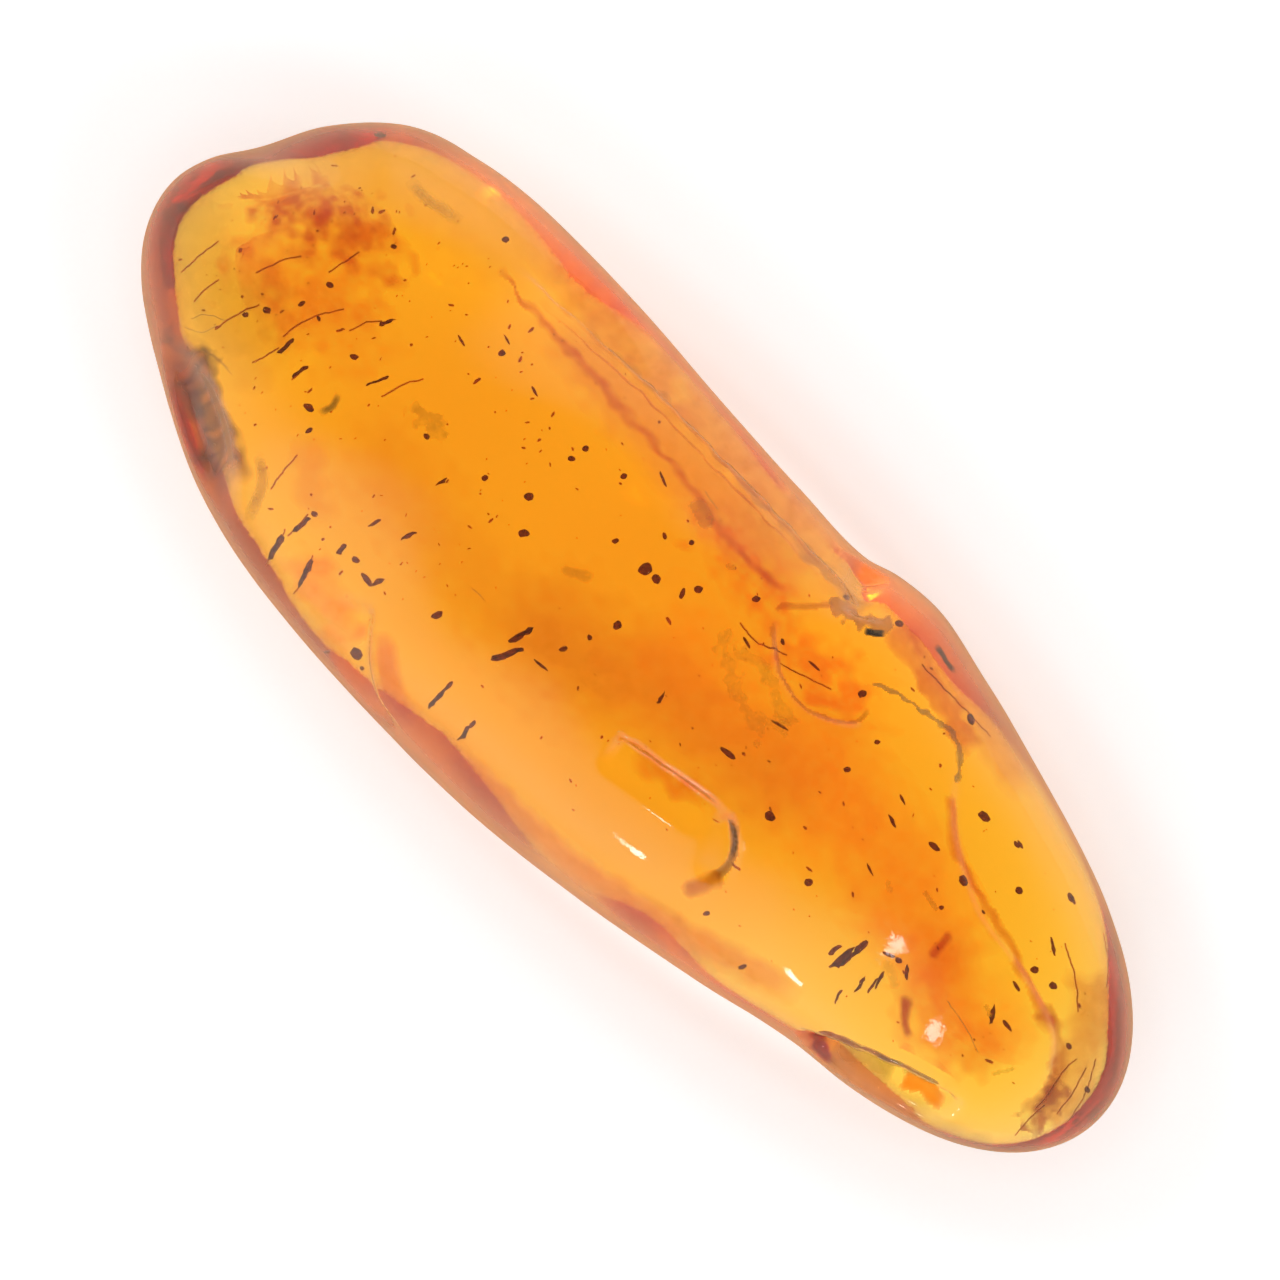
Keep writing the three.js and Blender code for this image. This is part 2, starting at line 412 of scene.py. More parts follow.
def reliefHeight(places, normals):
    raised = np.zeros(len(places))
    for height, wave, start in relief["swells"]:
        raised += height * np.abs(normals[:, 2]) * np.sin(places @ np.array(wave) + start)
    for height, cell, seed in relief["ripples"]:
        raised += height * wavering(places, cell, seed)
    for spot, turn, long, wide, depth, firm in relief["hollows"].values():
        point, normal = topPlace(*spot)
        heading = np.array([math.cos(math.radians(turn)), math.sin(math.radians(turn)), 0.0])
        axis = unit(heading - normal * heading.dot(normal))
        across = np.cross(normal, axis)
        offset = places - point
        shares = (offset @ axis / long, offset @ across / wide, offset @ normal / long)
        reach = np.sqrt(shares[0] ** 2 + shares[1] ** 2 + shares[2] ** 2)
        floorEdge, rim = relief["firmRim" if firm else "softRim"]
        raised -= depth * (1 - smooth(reach, floorEdge, rim))
    for seed, (route, drop, width, faceWidth, uneven) in enumerate(relief["ledges"].values(), 30):
        points, lefts, fades = routeSpots(route)
        index, gap = nearest(points, places)
        side = ((places - points[index]) * lefts[index]).sum(axis=1)
        side = side + uneven * wavering(places, relief["ledgeCell"], seed)
        face = smooth(side, -faceWidth, faceWidth)
        raised -= drop * fades[index] * face * (1 - smooth(gap, faceWidth, width))
    for route, depth, width in relief["grooves"].values():
        points, lefts, fades = routeSpots(route)
        index, gap = nearest(points, places)
        raised -= depth * fades[index] * np.exp(-((gap / width) ** 2))
    return raised


def pebbleSurface(along, around):
    places = lumpPoint(along, around)
    normals = lumpNormal(along, around)
    places = places + normals * reliefHeight(places, normals)[:, None]
    blend = relief["restBlend"]
    lifted = (places[:, 2] + np.sqrt(places[:, 2] ** 2 + blend**2)) / 2
    places[:, 2] = np.where(places[:, 2] < 1.0, lifted, places[:, 2])
    return places


def pebbleMesh():
    rings = lump["rings"]
    share = np.arange(1, rings) / rings
    along = math.pi * (share + lump["endCrowding"] * np.sin(2 * math.pi * share))
    top = math.pi * (1 - np.arange(lump["topSteps"]) / lump["topSteps"])
    under = -math.pi * np.arange(lump["underSteps"]) / lump["underSteps"]
    around = np.concatenate([top, under])
    steps = len(around)
    gridAlong, gridAround = np.meshgrid(along, around, indexing="ij")
    ends = np.array([0.0, math.pi])
    allAlong = np.concatenate([gridAlong.ravel(), ends])
    allAround = np.concatenate([gridAround.ravel(), np.zeros(2)])
    places = pebbleSurface(allAlong, allAround)
    row = np.arange(rings - 2)[:, None] * steps
    step = np.arange(steps)[None, :]
    following = (step + 1) % steps
    quads = np.stack([row + step, row + steps + step, row + steps + following, row + following], axis=-1)
    quads = quads.reshape(-1, 4)
    blunt = len(places) - 2
    tip = len(places) - 1
    lastRow = (rings - 2) * steps
    faces = quads.tolist()
    faces += [(blunt, i, (i + 1) % steps) for i in range(steps)]
    faces += [(tip, lastRow + (i + 1) % steps, lastRow + i) for i in range(steps)]
    mesh = bpy.data.meshes.new("amber")
    mesh.from_pydata((places * mm).tolist(), [], faces)
    mesh.polygons.foreach_set("use_smooth", np.ones(len(mesh.polygons), bool))
    mesh.update()
    return mesh


def paint(mesh, name, colours):
    layer = mesh.color_attributes.new(name, "FLOAT_COLOR", "POINT")
    full = np.concatenate([colours, np.ones((len(colours), 1))], axis=1)
    layer.data.foreach_set("color", full.ravel())


# Amber finish

amber = {
    "roughness": (0.012, 0.075),   # polished and scuffed patches
    "scuffed": (0.42, 0.75),       # noise between which the polish goes over into scuffs
    "flankDullness": 0.42,         # added roughness where the tumbling wore the flanks most
    "patchScale": 260.0,
    "patchDetail": 4.0,
    "pitScale": 5200.0,
    "pitHeight": 0.000004,
    "pitStrength": 0.5,
    "ior": 1.54,
    "sheen": 1.0,                  # the fine scuffs of the tumbling, which dull the rims
    "sheenTint": (0.85, 0.45, 0.15, 1.0),
    "sheenSpread": 0.55,
    "absorbColour": (0.993, 0.838, 0.0, 1.0),
    "absorbDensity": 560.0,
    "skinDepth": (0.12, 0.8),      # upward share of the surface's facing where the weathered skin ends
    "skinUneven": 0.3,
    "sideBlend": 3.0,
    "rightSkin": [(0.0, (0.95, 0.93, 0.9)), (0.5, (0.95, 0.92, 0.86)), (0.7, (0.98, 0.95, 0.9)),
                 (1.0, (0.95, 0.92, 0.88))],  # share of the length, tint
    "leftSkin": [(0.0, (0.95, 0.93, 0.9)), (0.5, (1.0, 0.97, 0.88)), (1.0, (0.95, 0.92, 0.88))],
}


def skinColour(tree, coords, patches):
    # the weathered skin is thickest round the outline and clears towards the polished top
    place = addNode(tree, "ShaderNodeSeparateXYZ", {0: coords})
    half = lump["length"] / 2 * mm
    blend = amber["sideBlend"] * mm
    along = mapRange(tree, place.outputs["X"], -half, half, kind="LINEAR")
    side = mapRange(tree, place.outputs["Y"], -blend, blend)
    left, right = (colourRamp(tree, along, amber[name]) for name in ("leftSkin", "rightSkin"))
    facing = addNode(tree, "ShaderNodeNewGeometry")
    upward = addNode(tree, "ShaderNodeSeparateXYZ", {0: facing.outputs["Normal"]})
    level = addNode(tree, "ShaderNodeMath", {0: upward.outputs["Z"]}, operation="ABSOLUTE")
    mixed = {0: patches, 1: amber["skinUneven"], 2: level.outputs[0]}
    uneven = addNode(tree, "ShaderNodeMath", mixed, operation="MULTIPLY_ADD")
    low, high = (edge + amber["skinUneven"] / 2 for edge in amber["skinDepth"])
    polished = mapRange(tree, uneven.outputs[0], low, high)
    return mixColour(tree, polished, mixColour(tree, side, left, right), (1.0, 1.0, 1.0)), polished


def amberMaterial():
    material, tree = newMaterial("clearAmber")
    coords = addNode(tree, "ShaderNodeTexCoord").outputs["Object"]
    patchy = {"Vector": coords, "Scale": amber["patchScale"], "Detail": amber["patchDetail"]}
    patches = addNode(tree, "ShaderNodeTexNoise", patchy).outputs[0]
    tint, polished = skinColour(tree, coords, patches)
    gloss = mapRange(tree, patches, *amber["scuffed"], *amber["roughness"])
    flanks = mapRange(tree, polished, 0.0, 1.0, amber["flankDullness"], 0.0)
    dulled = addNode(tree, "ShaderNodeMath", {0: flanks, 1: gloss})
    pits = addNode(tree, "ShaderNodeTexNoise", {"Vector": coords, "Scale": amber["pitScale"]})
    skin = addNode(tree, "ShaderNodeBump", {
        "Height": pits.outputs[0], "Strength": amber["pitStrength"], "Distance": amber["pitHeight"],
    })
    resin = addNode(tree, "ShaderNodeBsdfPrincipled", {
        "Base Color": tint, "Roughness": dulled.outputs[0], "Normal": skin.outputs[0],
        "IOR": amber["ior"], "Transmission Weight": 1.0, "Sheen Weight": amber["sheen"],
        "Sheen Tint": amber["sheenTint"], "Sheen Roughness": amber["sheenSpread"],
    })
    depth = addNode(tree, "ShaderNodeVolumeAbsorption", {
        "Color": amber["absorbColour"], "Density": amber["absorbDensity"],
    })
    addNode(tree, "ShaderNodeOutputMaterial", {"Surface": resin.outputs[0], "Volume": depth.outputs[0]})
    return material


def makePebble():
    mesh = pebbleMesh()
    mesh.materials.append(amberMaterial())
    pebble = bpy.data.objects.new("clearAmberLump", mesh)
    bpy.context.collection.objects.link(pebble)
    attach(pebble, "root")
    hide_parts("amber_pebble")
    print("amber lump:", len(mesh.polygons), "faces")


makePebble()


# Tinted films sealed in the amber, laid out in pixels of the photo: tints in the resin, painted shade along
# the flanks and a painted dull reflection on the blunt end

sheets = {
    "step": 2.6,        # pixels between a sheet's points
    "least": 0.03,      # a sheet ends where less than this share of it is left
    "thickness": 0.03,
    "filmMottle": 1400.0,
    "filmThin": 0.72,   # strength of a film where its mottle is thinnest
    "fineCell": 6.0,    # pixels, size of the finer patches of a stroke
    "mottleDetail": 5.0,
    "mottleSpan": (0.3, 0.7),
    "stain": (0.12, 0.05, 0.01),
    "stained": (0.7, 1.0),
    "seedStep": 100,
    "cloudSeed": 2000,
    "ior": 1.12,        # of debris against the resin round it
}


def linkPiece(name, mesh):
    piece = bpy.data.objects.new(name, mesh)
    bpy.context.collection.objects.link(piece)
    return piece


def settle(piece):
    # live modifiers become plain mesh, and the piece rides on the pebble
    depsgraph = bpy.context.evaluated_depsgraph_get()
    finished = piece.evaluated_get(depsgraph)
    mesh = bpy.data.meshes.new_from_object(finished, preserve_all_data_layers=True, depsgraph=depsgraph)
    mesh.name = piece.name
    piece.modifiers.clear()
    piece.data = mesh
    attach(piece, "root")
    print(piece.name + ":", len(mesh.polygons), "faces")
    return piece


def gapToRoute(spots, route):
    # distance from each spot to a route, and how far along the route its nearest place is
    route = np.array(route, float)
    if len(route) == 1:
        return np.linalg.norm(spots - route[0], axis=-1), np.full(len(spots), 0.5)
    route = smoothRoute(route, 6 * len(route)) if len(route) > 2 else route
    best = np.full(len(spots), 1e9)
    share = np.zeros(len(spots))
    for i in range(len(route) - 1):
        step = route[i + 1] - route[i]
        t = np.clip((spots - route[i]) @ step / (step @ step), 0.0, 1.0)
        gap = np.linalg.norm(spots - route[i] - t[:, None] * step, axis=-1)
        closer = gap < best
        best = np.where(closer, gap, best)
        share = np.where(closer, (i + t) / (len(route) - 1), share)
    return best, share


def brush(half, edge, ragged, colour, route, cover=1.0, taper=0.0, patchy=0.0, cell=14.0):
    # a stroke of colour in pixels of the photo: half width, soft edge, raggedness, tint or hue, route.
    # Cover is its strength, taper the share of the route where each end fades, cell its patches' size
    return {
        "half": half, "edge": edge, "ragged": ragged, "colour": colour, "route": route,
        "cover": cover, "taper": taper, "patchy": patchy, "cell": cell,
    }


def strokeShare(spots, stroke, seed):
    # how strongly a brush stroke covers each spot: full within its half width, fading over its edge
    deep = np.concatenate([spots, np.zeros((len(spots), 1))], axis=1)
    half, edge, taper, patchy = (stroke[label] for label in ("half", "edge", "taper", "patchy"))
    shift = np.stack([wavering(deep, stroke["cell"], seed + k) for k in (0, 1)], axis=-1)
    gap, share = gapToRoute(spots + stroke["ragged"] * shift, stroke["route"])
    cover = 1 - smooth(gap, half - edge, half + edge)
    if taper:
        cover *= smooth(share, 0.0, taper) * (1 - smooth(share, 1 - taper, 1.0))
    if patchy:
        fine = wavering(deep, sheets["fineCell"], seed + 6)
        patches = wavering(deep, stroke["cell"], seed + 5) + 0.5 * fine
        cover *= np.clip(1 - patchy + patchy * (0.5 + 0.9 * patches), 0.0, 1.0)
    return cover


def sheetSpots(strokes, step):
    reach = [(np.array(s["route"], float), s["half"] + s["edge"] + s["ragged"]) for s in strokes]
    low = np.min([route.min(axis=0) - more for route, more in reach], axis=0)
    high = np.max([route.max(axis=0) + more for route, more in reach], axis=0)
    columns = np.arange(low[0], high[0] + step, step)
    rows = np.arange(low[1], high[1] + step, step)
    gridX, gridY = np.meshgrid(columns, rows)
    return np.stack([gridX.ravel(), gridY.ravel()], axis=-1), len(rows), len(columns)


def underSkin(spots, depth):
    # places under the surface, each seen through the picture's spot above it
    x, y = planOf(spots[:, 0], spots[:, 1])
    points, normals = topPlace(x, y)
    inside = (np.abs(points[:, 1] - y) < 0.02) & (np.abs(x) < lump["length"] / 2)
    places = points + normals * (reliefHeight(points, normals) - depth)[:, None]
    return places, inside


def sheetMesh(name, rows, columns, kept, places):
    index = np.arange(rows * columns).reshape(rows, columns)
    corners = [index[:-1, :-1], index[1:, :-1], index[1:, 1:], index[:-1, 1:]]
    quads = np.stack(corners, axis=-1).reshape(-1, 4)
    quads = quads[kept[quads].all(axis=1)]
    used = np.unique(quads)
    renumber = np.zeros(rows * columns, int)
    renumber[used] = np.arange(len(used))
    mesh = bpy.data.meshes.new(name)
    mesh.from_pydata((places[used] * mm).tolist(), [], renumber[quads].tolist())
    mesh.polygons.foreach_set("use_smooth", np.ones(len(mesh.polygons), bool))
    mesh.update()
    return mesh, used


def sheetAt(name, spots, rows, columns, covered, depth):
    places = np.zeros((len(spots), 3))
    kept = np.zeros(len(spots), bool)
    places[covered], kept[covered] = underSkin(spots[covered], depth)
    return sheetMesh(name, rows, columns, kept, places)


def finishSheet(mesh, material, thickness):
    mesh.materials.append(material)
    piece = linkPiece(mesh.name, mesh)
    wall = piece.modifiers.new("wall", "SOLIDIFY")
    wall.thickness = thickness * mm
    wall.offset = 0.0
    settle(piece)


def mottle(tree, scale, low, high):
    coords = addNode(tree, "ShaderNodeTexCoord")
    noise = addNode(tree, "ShaderNodeTexNoise", {
        "Vector": coords.outputs["Object"], "Scale": scale, "Detail": sheets["mottleDetail"],
    })
    return mapRange(tree, noise.outputs[0], *sheets["mottleSpan"], low, high, kind="LINEAR")


def filmMaterial(name):
    # a clear film that only tints the light passing through it
    material, tree = newMaterial(name)
    layer = addNode(tree, "ShaderNodeAttribute", attribute_name="tint")
    share = mottle(tree, sheets["filmMottle"], sheets["filmThin"], 1.0)
    tint = mixColour(tree, share, (1.0, 1.0, 1.0), layer.outputs["Color"])
    film = addNode(tree, "ShaderNodeBsdfTransparent", {"Color": tint})
    addNode(tree, "ShaderNodeOutputMaterial", {"Surface": film.outputs[0]})
    return material


def makeFilm(name, film, seed):
    spots, rows, columns = sheetSpots(film["strokes"], sheets["step"])
    tint = np.ones((len(spots), 3))
    total = np.zeros(len(spots))
    for k, stroke in enumerate(film["strokes"]):
        cover = strokeShare(spots, stroke, seed + 10 * k)
        tint *= 1 + (np.array(stroke["colour"]) - 1) * cover[:, None]
        total = np.maximum(total, cover)
    covered = np.flatnonzero(total > sheets["least"])
    mesh, used = sheetAt(name, spots, rows, columns, covered, film["depth"])
    paint(mesh, "tint", np.sqrt(tint[used]))  # light crosses both faces of the film
    finishSheet(mesh, filmMaterial(name), sheets["thickness"])


films = {
    "rustyCloud": {"depth": 2.0, "strokes": [
        brush(40, 22, 26, (0.72, 0.3, 0.1), [(268, 185), (320, 212), (372, 242)], patchy=0.55),
        brush(22, 12, 18, (0.72, 0.32, 0.12), [(285, 205), (345, 222)], patchy=0.6, cell=9.0),
        brush(30, 24, 24, (0.9, 0.6, 0.3), [(240, 265), (290, 300), (345, 290)], patchy=0.6),
    ]},
    # painted reflection: a dull olive and greyish haze over the blunt end's lobes
    "bluntEndDullReflection": {"depth": 1.2, "strokes": [
        brush(45, 35, 12, (0.78, 0.74, 0.6), [(185, 215), (200, 280), (240, 330)]),
        brush(48, 28, 10, (0.88, 0.84, 0.9), [(340, 160), (430, 180), (510, 225)]),
    ]},
    "innerSeam": {"depth": 1.0, "strokes": [
        brush(4.5, 4, 5, (0.72, 0.36, 0.12), [(505, 255), (535, 295), (565, 330), (604, 372),
              (640, 420), (665, 448), (700, 490), (728, 535), (755, 562), (800, 592)], taper=0.06,
              patchy=0.3),
        brush(30, 26, 10, (0.84, 0.64, 0.3), [(545, 290), (620, 370), (690, 455), (760, 530),
              (820, 590)], taper=0.2),
        brush(26, 20, 18, (0.92, 0.5, 0.25), [(725, 540), (760, 580), (800, 640), (850, 690)],
              patchy=0.6),
    ]},
    # painted shade: a brown band along the steep right flank below the broken ledge, and on past the notch
    "rightFlankShade": {"depth": 0.35, "strokes": [
        brush(22, 16, 8, (0.78, 0.52, 0.3), [(520, 205), (600, 290), (680, 380), (760, 475),
              (830, 550), (880, 595)], taper=0.2, patchy=0.3),
        brush(12, 5, 5, (0.72, 0.36, 0.2), [(888, 618), (920, 660), (960, 722), (976, 752)],
              taper=0.1, patchy=0.2),
        brush(16, 10, 4, (0.86, 0.66, 0.45), [(905, 600), (950, 655), (990, 725), (1030, 800)],
              taper=0.15),
    ]},
    "tipSeam": {"depth": 0.6, "strokes": [
        brush(4.5, 4, 3, (0.76, 0.42, 0.16), [(948, 790), (953, 842), (975, 887), (999, 926),
              (1021, 972), (1044, 1015)], taper=0.05),
        brush(9, 6, 6, (0.55, 0.2, 0.08), [(1036, 1003), (1055, 1032), (1060, 1060), (1050, 1092),
              (1030, 1120)], taper=0.12, patchy=0.3),
        brush(22, 12, 6, (0.76, 0.5, 0.34), [(1095, 960), (1095, 1030), (1078, 1090), (1040, 1135)],
              taper=0.12, patchy=0.2),
        brush(13, 6, 9, (0.5, 0.22, 0.2), [(1068, 1085), (1045, 1115), (1022, 1138)], taper=0.1,
              patchy=0.6, cell=7.0),
    ]},
    "tipRust": {"depth": 1.4, "strokes": [
        brush(28, 26, 14, (0.88, 0.5, 0.2), [(945, 955), (930, 1010), (935, 1045), (975, 1050)],
              patchy=0.2),
        brush(4.5, 3, 2, (0.45, 0.13, 0.03), [(905, 1000), (899, 1030), (903, 1052)], taper=0.2),
        brush(5, 3, 2, (0.6, 0.22, 0.06), [(936, 955), (950, 937)]),
        brush(40, 36, 20, (0.96, 0.74, 0.5), [(850, 690), (830, 800), (900, 880)], patchy=0.4),
    ]},
    "leftRustAndShadeBand": {"depth": 0.8, "strokes": [
        brush(17, 14, 10, (0.94, 0.55, 0.2), [(285, 545), (318, 610), (352, 672)], taper=0.25,
              patchy=0.3),
        brush(11, 8, 4, (0.86, 0.48, 0.2), [(378, 640), (382, 685), (410, 730)], taper=0.2),
        brush(14, 12, 5, (0.92, 0.76, 0.45), [(318, 430), (310, 490), (322, 535)], taper=0.25),
        # painted shade: a dark orange band along the lower-left outline
        brush(13, 9, 3, (0.84, 0.52, 0.25), [(430, 745), (560, 862), (700, 955), (800, 1012)],
              taper=0.12),
    ]},
    "darkerFlow": {"depth": 4.2, "strokes": [
        brush(60, 80, 16, (1.0, 0.72, 0.4), [(640, 600), (720, 700), (830, 800), (930, 890),
              (1010, 960)], taper=0.12),
        brush(40, 50, 10, (0.97, 0.62, 0.3), [(900, 950), (960, 1010), (1010, 1060)]),
        brush(34, 45, 18, (0.9, 0.62, 0.4), [(195, 215), (250, 280), (330, 330)], patchy=0.2),
    ]},
    "tipWindow": {"depth": 0.2, "strokes": [
        brush(7, 3, 3, (0.95, 0.38, 0.05), [(894, 1085), (916, 1092), (942, 1106)], taper=0.15),
    ]},
    "shadedBelly": {"depth": 3.2, "strokes": [
        brush(50, 45, 14, (0.86, 0.68, 0.45), [(560, 640), (650, 700), (760, 790)]),
        brush(45, 45, 14, (0.92, 0.8, 0.7), [(380, 480), (460, 590), (560, 700)]),
    ]},
    "dentShade": {"depth": 0.25, "strokes": [
        brush(9, 8, 5, (0.86, 0.5, 0.2), [(628, 750), (665, 778), (712, 806)], taper=0.3, patchy=0.2),
        brush(4.5, 3, 2, (0.34, 0.27, 0.12), [(728, 812), (734, 840), (725, 868), (703, 882)],
              taper=0.25),
        brush(7, 5, 4, (0.6, 0.34, 0.16), [(688, 885), (714, 878)]),
        brush(2.6, 2.2, 2, (0.62, 0.48, 0.34), [(772, 618), (775, 660), (800, 705), (830, 720),
              (858, 722), (873, 702)], taper=0.08),
        brush(3, 3, 2, (0.66, 0.44, 0.26), [(776, 607), (830, 605)]),
    ]},
}


def makeFilms():
    for seed, (name, film) in enumerate(films.items(), 1):
        makeFilm(name, film, sheets["seedStep"] * seed)


makeFilms()


# Debris: specks, needles and dust, one grain set on each point by a node tree

debris = {
    "grainDetail": 2,
    "roughen": 0.42,
    "lumpScale": 9000.0,
    "specks": [  # picture spot, long and wide in pixels, heading in degrees down from the right, depth
        (383, 134, 12, 8, 10, 0.5), (515, 233, 8, 6, 0, 1.0), (397, 244, 6, 5, 0, 1.6),
        (507, 351, 8, 7, 0, 1.8), (331, 287, 8, 6, 20, 1.4), (355, 361, 9, 6, 15, 1.5),
        (425, 437, 7, 5, 40, 2.2), (485, 477, 7, 6, 0, 2.0), (531, 496, 10, 8, 0, 2.2),
        (526, 535, 12, 8, 0, 2.0), (648, 570, 15, 11, 150, 1.5), (659, 579, 10, 8, 60, 1.6),
        (621, 541, 7, 5, 150, 2.4), (686, 592, 11, 5, 110, 2.0), (702, 587, 8, 7, 0, 1.8),
        (672, 534, 8, 4, 70, 2.1), (697, 541, 5, 5, 0, 1.6), (636, 469, 6, 6, 0, 2.4),
        (593, 445, 7, 6, 20, 1.9), (577, 456, 8, 5, 0, 2.0), (619, 626, 10, 8, 130, 1.6),
        (590, 640, 6, 5, 90, 1.7), (563, 652, 9, 5, 160, 1.2), (431, 625, 13, 7, 160, 1.3),
        (349, 662, 15, 12, 60, 0.5), (355, 676, 6, 5, 0, 0.5), (325, 655, 8, 4, 150, 0.4),
        (727, 756, 20, 6, 40, 0.9), (768, 818, 12, 9, 40, 1.0), (806, 884, 9, 8, 0, 1.0),
        (988, 813, 15, 8, 40, 0.8), (935, 846, 14, 6, 42, 1.2), (974, 715, 12, 9, 60, 0.4),
        (900, 620, 9, 7, 0, 0.4), (846, 588, 7, 6, 0, 0.7), (1036, 969, 9, 7, 0, 0.9),
        (1056, 985, 9, 7, 30, 0.9), (1022, 887, 9, 7, 40, 0.9), (1074, 893, 10, 6, 60, 0.7),
        (1021, 840, 8, 4, 50, 0.9), (943, 907, 5, 5, 0, 1.5), (982, 914, 7, 5, 0, 1.4),
        (897, 964, 8, 6, 30, 1.2), (1071, 1047, 9, 5, 60, 0.5), (1091, 1093, 8, 6, 60, 0.4),
        (758, 596, 9, 6, 0, 1.1), (785, 636, 8, 5, 60, 1.0), (867, 690, 9, 7, 0, 0.8),
        (849, 772, 7, 6, 0, 1.2), (884, 742, 6, 5, 0, 1.4), (734, 978, 10, 5, 150, 0.8),
        (700, 920, 8, 5, 150, 0.9), (310, 412, 12, 7, 30, 1.2), (309, 435, 5, 8, 60, 1.3),
        (269, 314, 9, 7, 0, 0.8), (303, 307, 8, 4, 150, 1.1), (245, 318, 7, 5, 0, 1.0),
        (320, 322, 6, 4, 60, 1.2), (310, 519, 7, 6, 0, 0.9), (349, 567, 9, 6, 20, 0.8),
    ],
    "needles": [  # picture spot, long and wide in pixels, heading, depth
        (463, 340, 14, 2.4, 60, 1.8), (515, 333, 12, 2.2, 60, 2.0), (541, 388, 12, 2.2, 60, 2.2),
        (671, 475, 18, 3, 68, 1.4), (435, 702, 34, 2.4, 133, 0.7), (447, 690, 12, 4, 133, 0.7),
        (461, 738, 26, 2.2, 130, 0.7), (470, 728, 10, 3.5, 130, 0.7), (829, 958, 16, 5, 140, 1.2),
        (857, 953, 20, 7, 132, 1.2), (836, 967, 34, 3, 140, 1.3), (843, 968, 34, 3, 138, 1.4),
        (887, 959, 14, 4, 20, 1.2), (905, 976, 16, 4, 95, 1.2), (829, 1008, 18, 2.4, 118, 1.1),
        (853, 995, 22, 2.4, 120, 1.2), (866, 994, 20, 2.4, 124, 1.2), (874, 988, 22, 2.2, 118, 1.3),
        (993, 1015, 22, 4, 102, 1.0), (1008, 1026, 16, 4, 55, 1.0), (1054, 944, 20, 3.4, 78, 0.6),
        (1074, 896, 12, 4, 62, 0.5), (1025, 840, 10, 3, 55, 0.9), (1016, 985, 12, 4, 58, 0.9),
        (893, 822, 14, 4, 62, 1.2), (273, 552, 34, 4, 122, 0.5), (300, 580, 36, 4, 118, 0.5),
        (297, 530, 26, 4, 138, 0.7), (301, 376, 20, 3, 145, 1.2), (287, 350, 22, 4, 140, 1.0),
        (388, 325, 18, 3, 155, 1.4), (378, 385, 24, 2.6, 155, 1.6), (372, 527, 16, 3, 150, 0.9),
        (405, 540, 18, 3, 155, 1.0), (440, 482, 14, 2.4, 150, 1.6), (335, 556, 16, 5, 130, 0.8),
        (360, 588, 18, 7, 50, 0.8), (372, 590, 16, 5, 150, 0.8), (520, 640, 30, 6, 150, 1.2),
        (505, 660, 36, 4, 160, 1.1), (540, 668, 18, 3, 40, 0.9), (748, 640, 14, 3, 60, 1.1),
        (780, 727, 20, 3, 30, 1.2), (820, 660, 14, 3, 40, 1.2), (660, 700, 16, 2.4, 120, 1.6),
        (905, 800, 12, 3, 62, 1.3), (960, 880, 12, 3, 62, 0.9), (870, 870, 14, 2.4, 62, 1.4),
    ],
    "dustCount": 300,
    "dustSize": (1.0, 3.2),        # pixels
    "dustDepth": (0.35, 3.0),
    "bluntEndShare": 0.5,          # of the dust lies in the third by the blunt end
    "dustSeed": 7,
    "bluntEndSpan": (-20.5, -6.0),
    "restSpan": (-8.0, 20.0),
    "dustReach": 0.86,             # share of the way to the flanks
    "dustStretch": (1.0, 3.2),
    "dustHeadings": (145, 60, 22),  # near the blunt end, elsewhere, spread
    "tilt": 0.25,
    "speckFlatness": 0.7,
    "grainFlatness": 0.8,
    # dark and light tone, scale of their mottle
    "barkTones": ((0.2, 0.05, 0.005), (0.45, 0.14, 0.016), 6000.0),
    "dustTones": ((0.5, 0.13, 0.01), (0.85, 0.3, 0.03), 5000.0),
    "roughness": (0.5, 0.85),
    "letsThrough": 0.6,            # share of the light that thin bark lets through
}


def dustGrains():
    # dust lies in drifts along the old resin flows: up and right near the blunt end, lengthwise elsewhere
    draw = np.random.default_rng(debris["dustSeed"])
    least, most = debris["dustSize"]
    bluntHeading, restHeading, spread = debris["dustHeadings"]
    grains = []
    while len(grains) < debris["dustCount"]:
        nearBlunt = draw.random() < debris["bluntEndShare"]
        x = draw.uniform(*debris["bluntEndSpan" if nearBlunt else "restSpan"])
        reach = debris["dustReach"] * math.sqrt(1 - (2 * x / lump["length"]) ** 2)
        y = draw.uniform(-reach * leftAt(x), reach * rightAt(x))
        size = draw.uniform(0, 1) ** 3 * (most - least) + least
        stretch = draw.uniform(*debris["dustStretch"])
        heading = draw.normal(bluntHeading if nearBlunt else restHeading, spread)
        depth = draw.uniform(*debris["dustDepth"])
        grains.append((x, y, size * stretch, size, heading, depth))
    return np.array(grains)


def placedGrains(rows):
    rows = np.array(rows, float)
    x, y = planOf(rows[:, 0], rows[:, 1])
    return np.concatenate([x[:, None], y[:, None], rows[:, 2:]], axis=1)


def grainPoints(name, grains, flatness):
    # a point for each grain, with its size and turn for the node tree
    points, normals = topPlace(grains[:, 0], grains[:, 1])
    places = points + normals * (reliefHeight(points, normals) - grains[:, 5])[:, None]
    mesh = bpy.data.meshes.new(name)
    mesh.from_pydata((places * mm).tolist(), [], [])
    pixel = photo["pixel"] * mm / 2
    extent = np.stack([grains[:, 2] * pixel, grains[:, 3] * pixel, grains[:, 3] * pixel * flatness], axis=1)
    yaw = np.radians(photo["turn"] - grains[:, 4])
    tilt = debris["tilt"] * np.sin(np.arange(len(grains)) * 2.4)
    turn = np.stack([tilt, -0.6 * tilt, yaw], axis=1)
    for label, values in (("extent", extent), ("turn", turn)):
        layer = mesh.attributes.new(label, "FLOAT_VECTOR", "POINT")
        layer.data.foreach_set("vector", values.ravel())
    return mesh


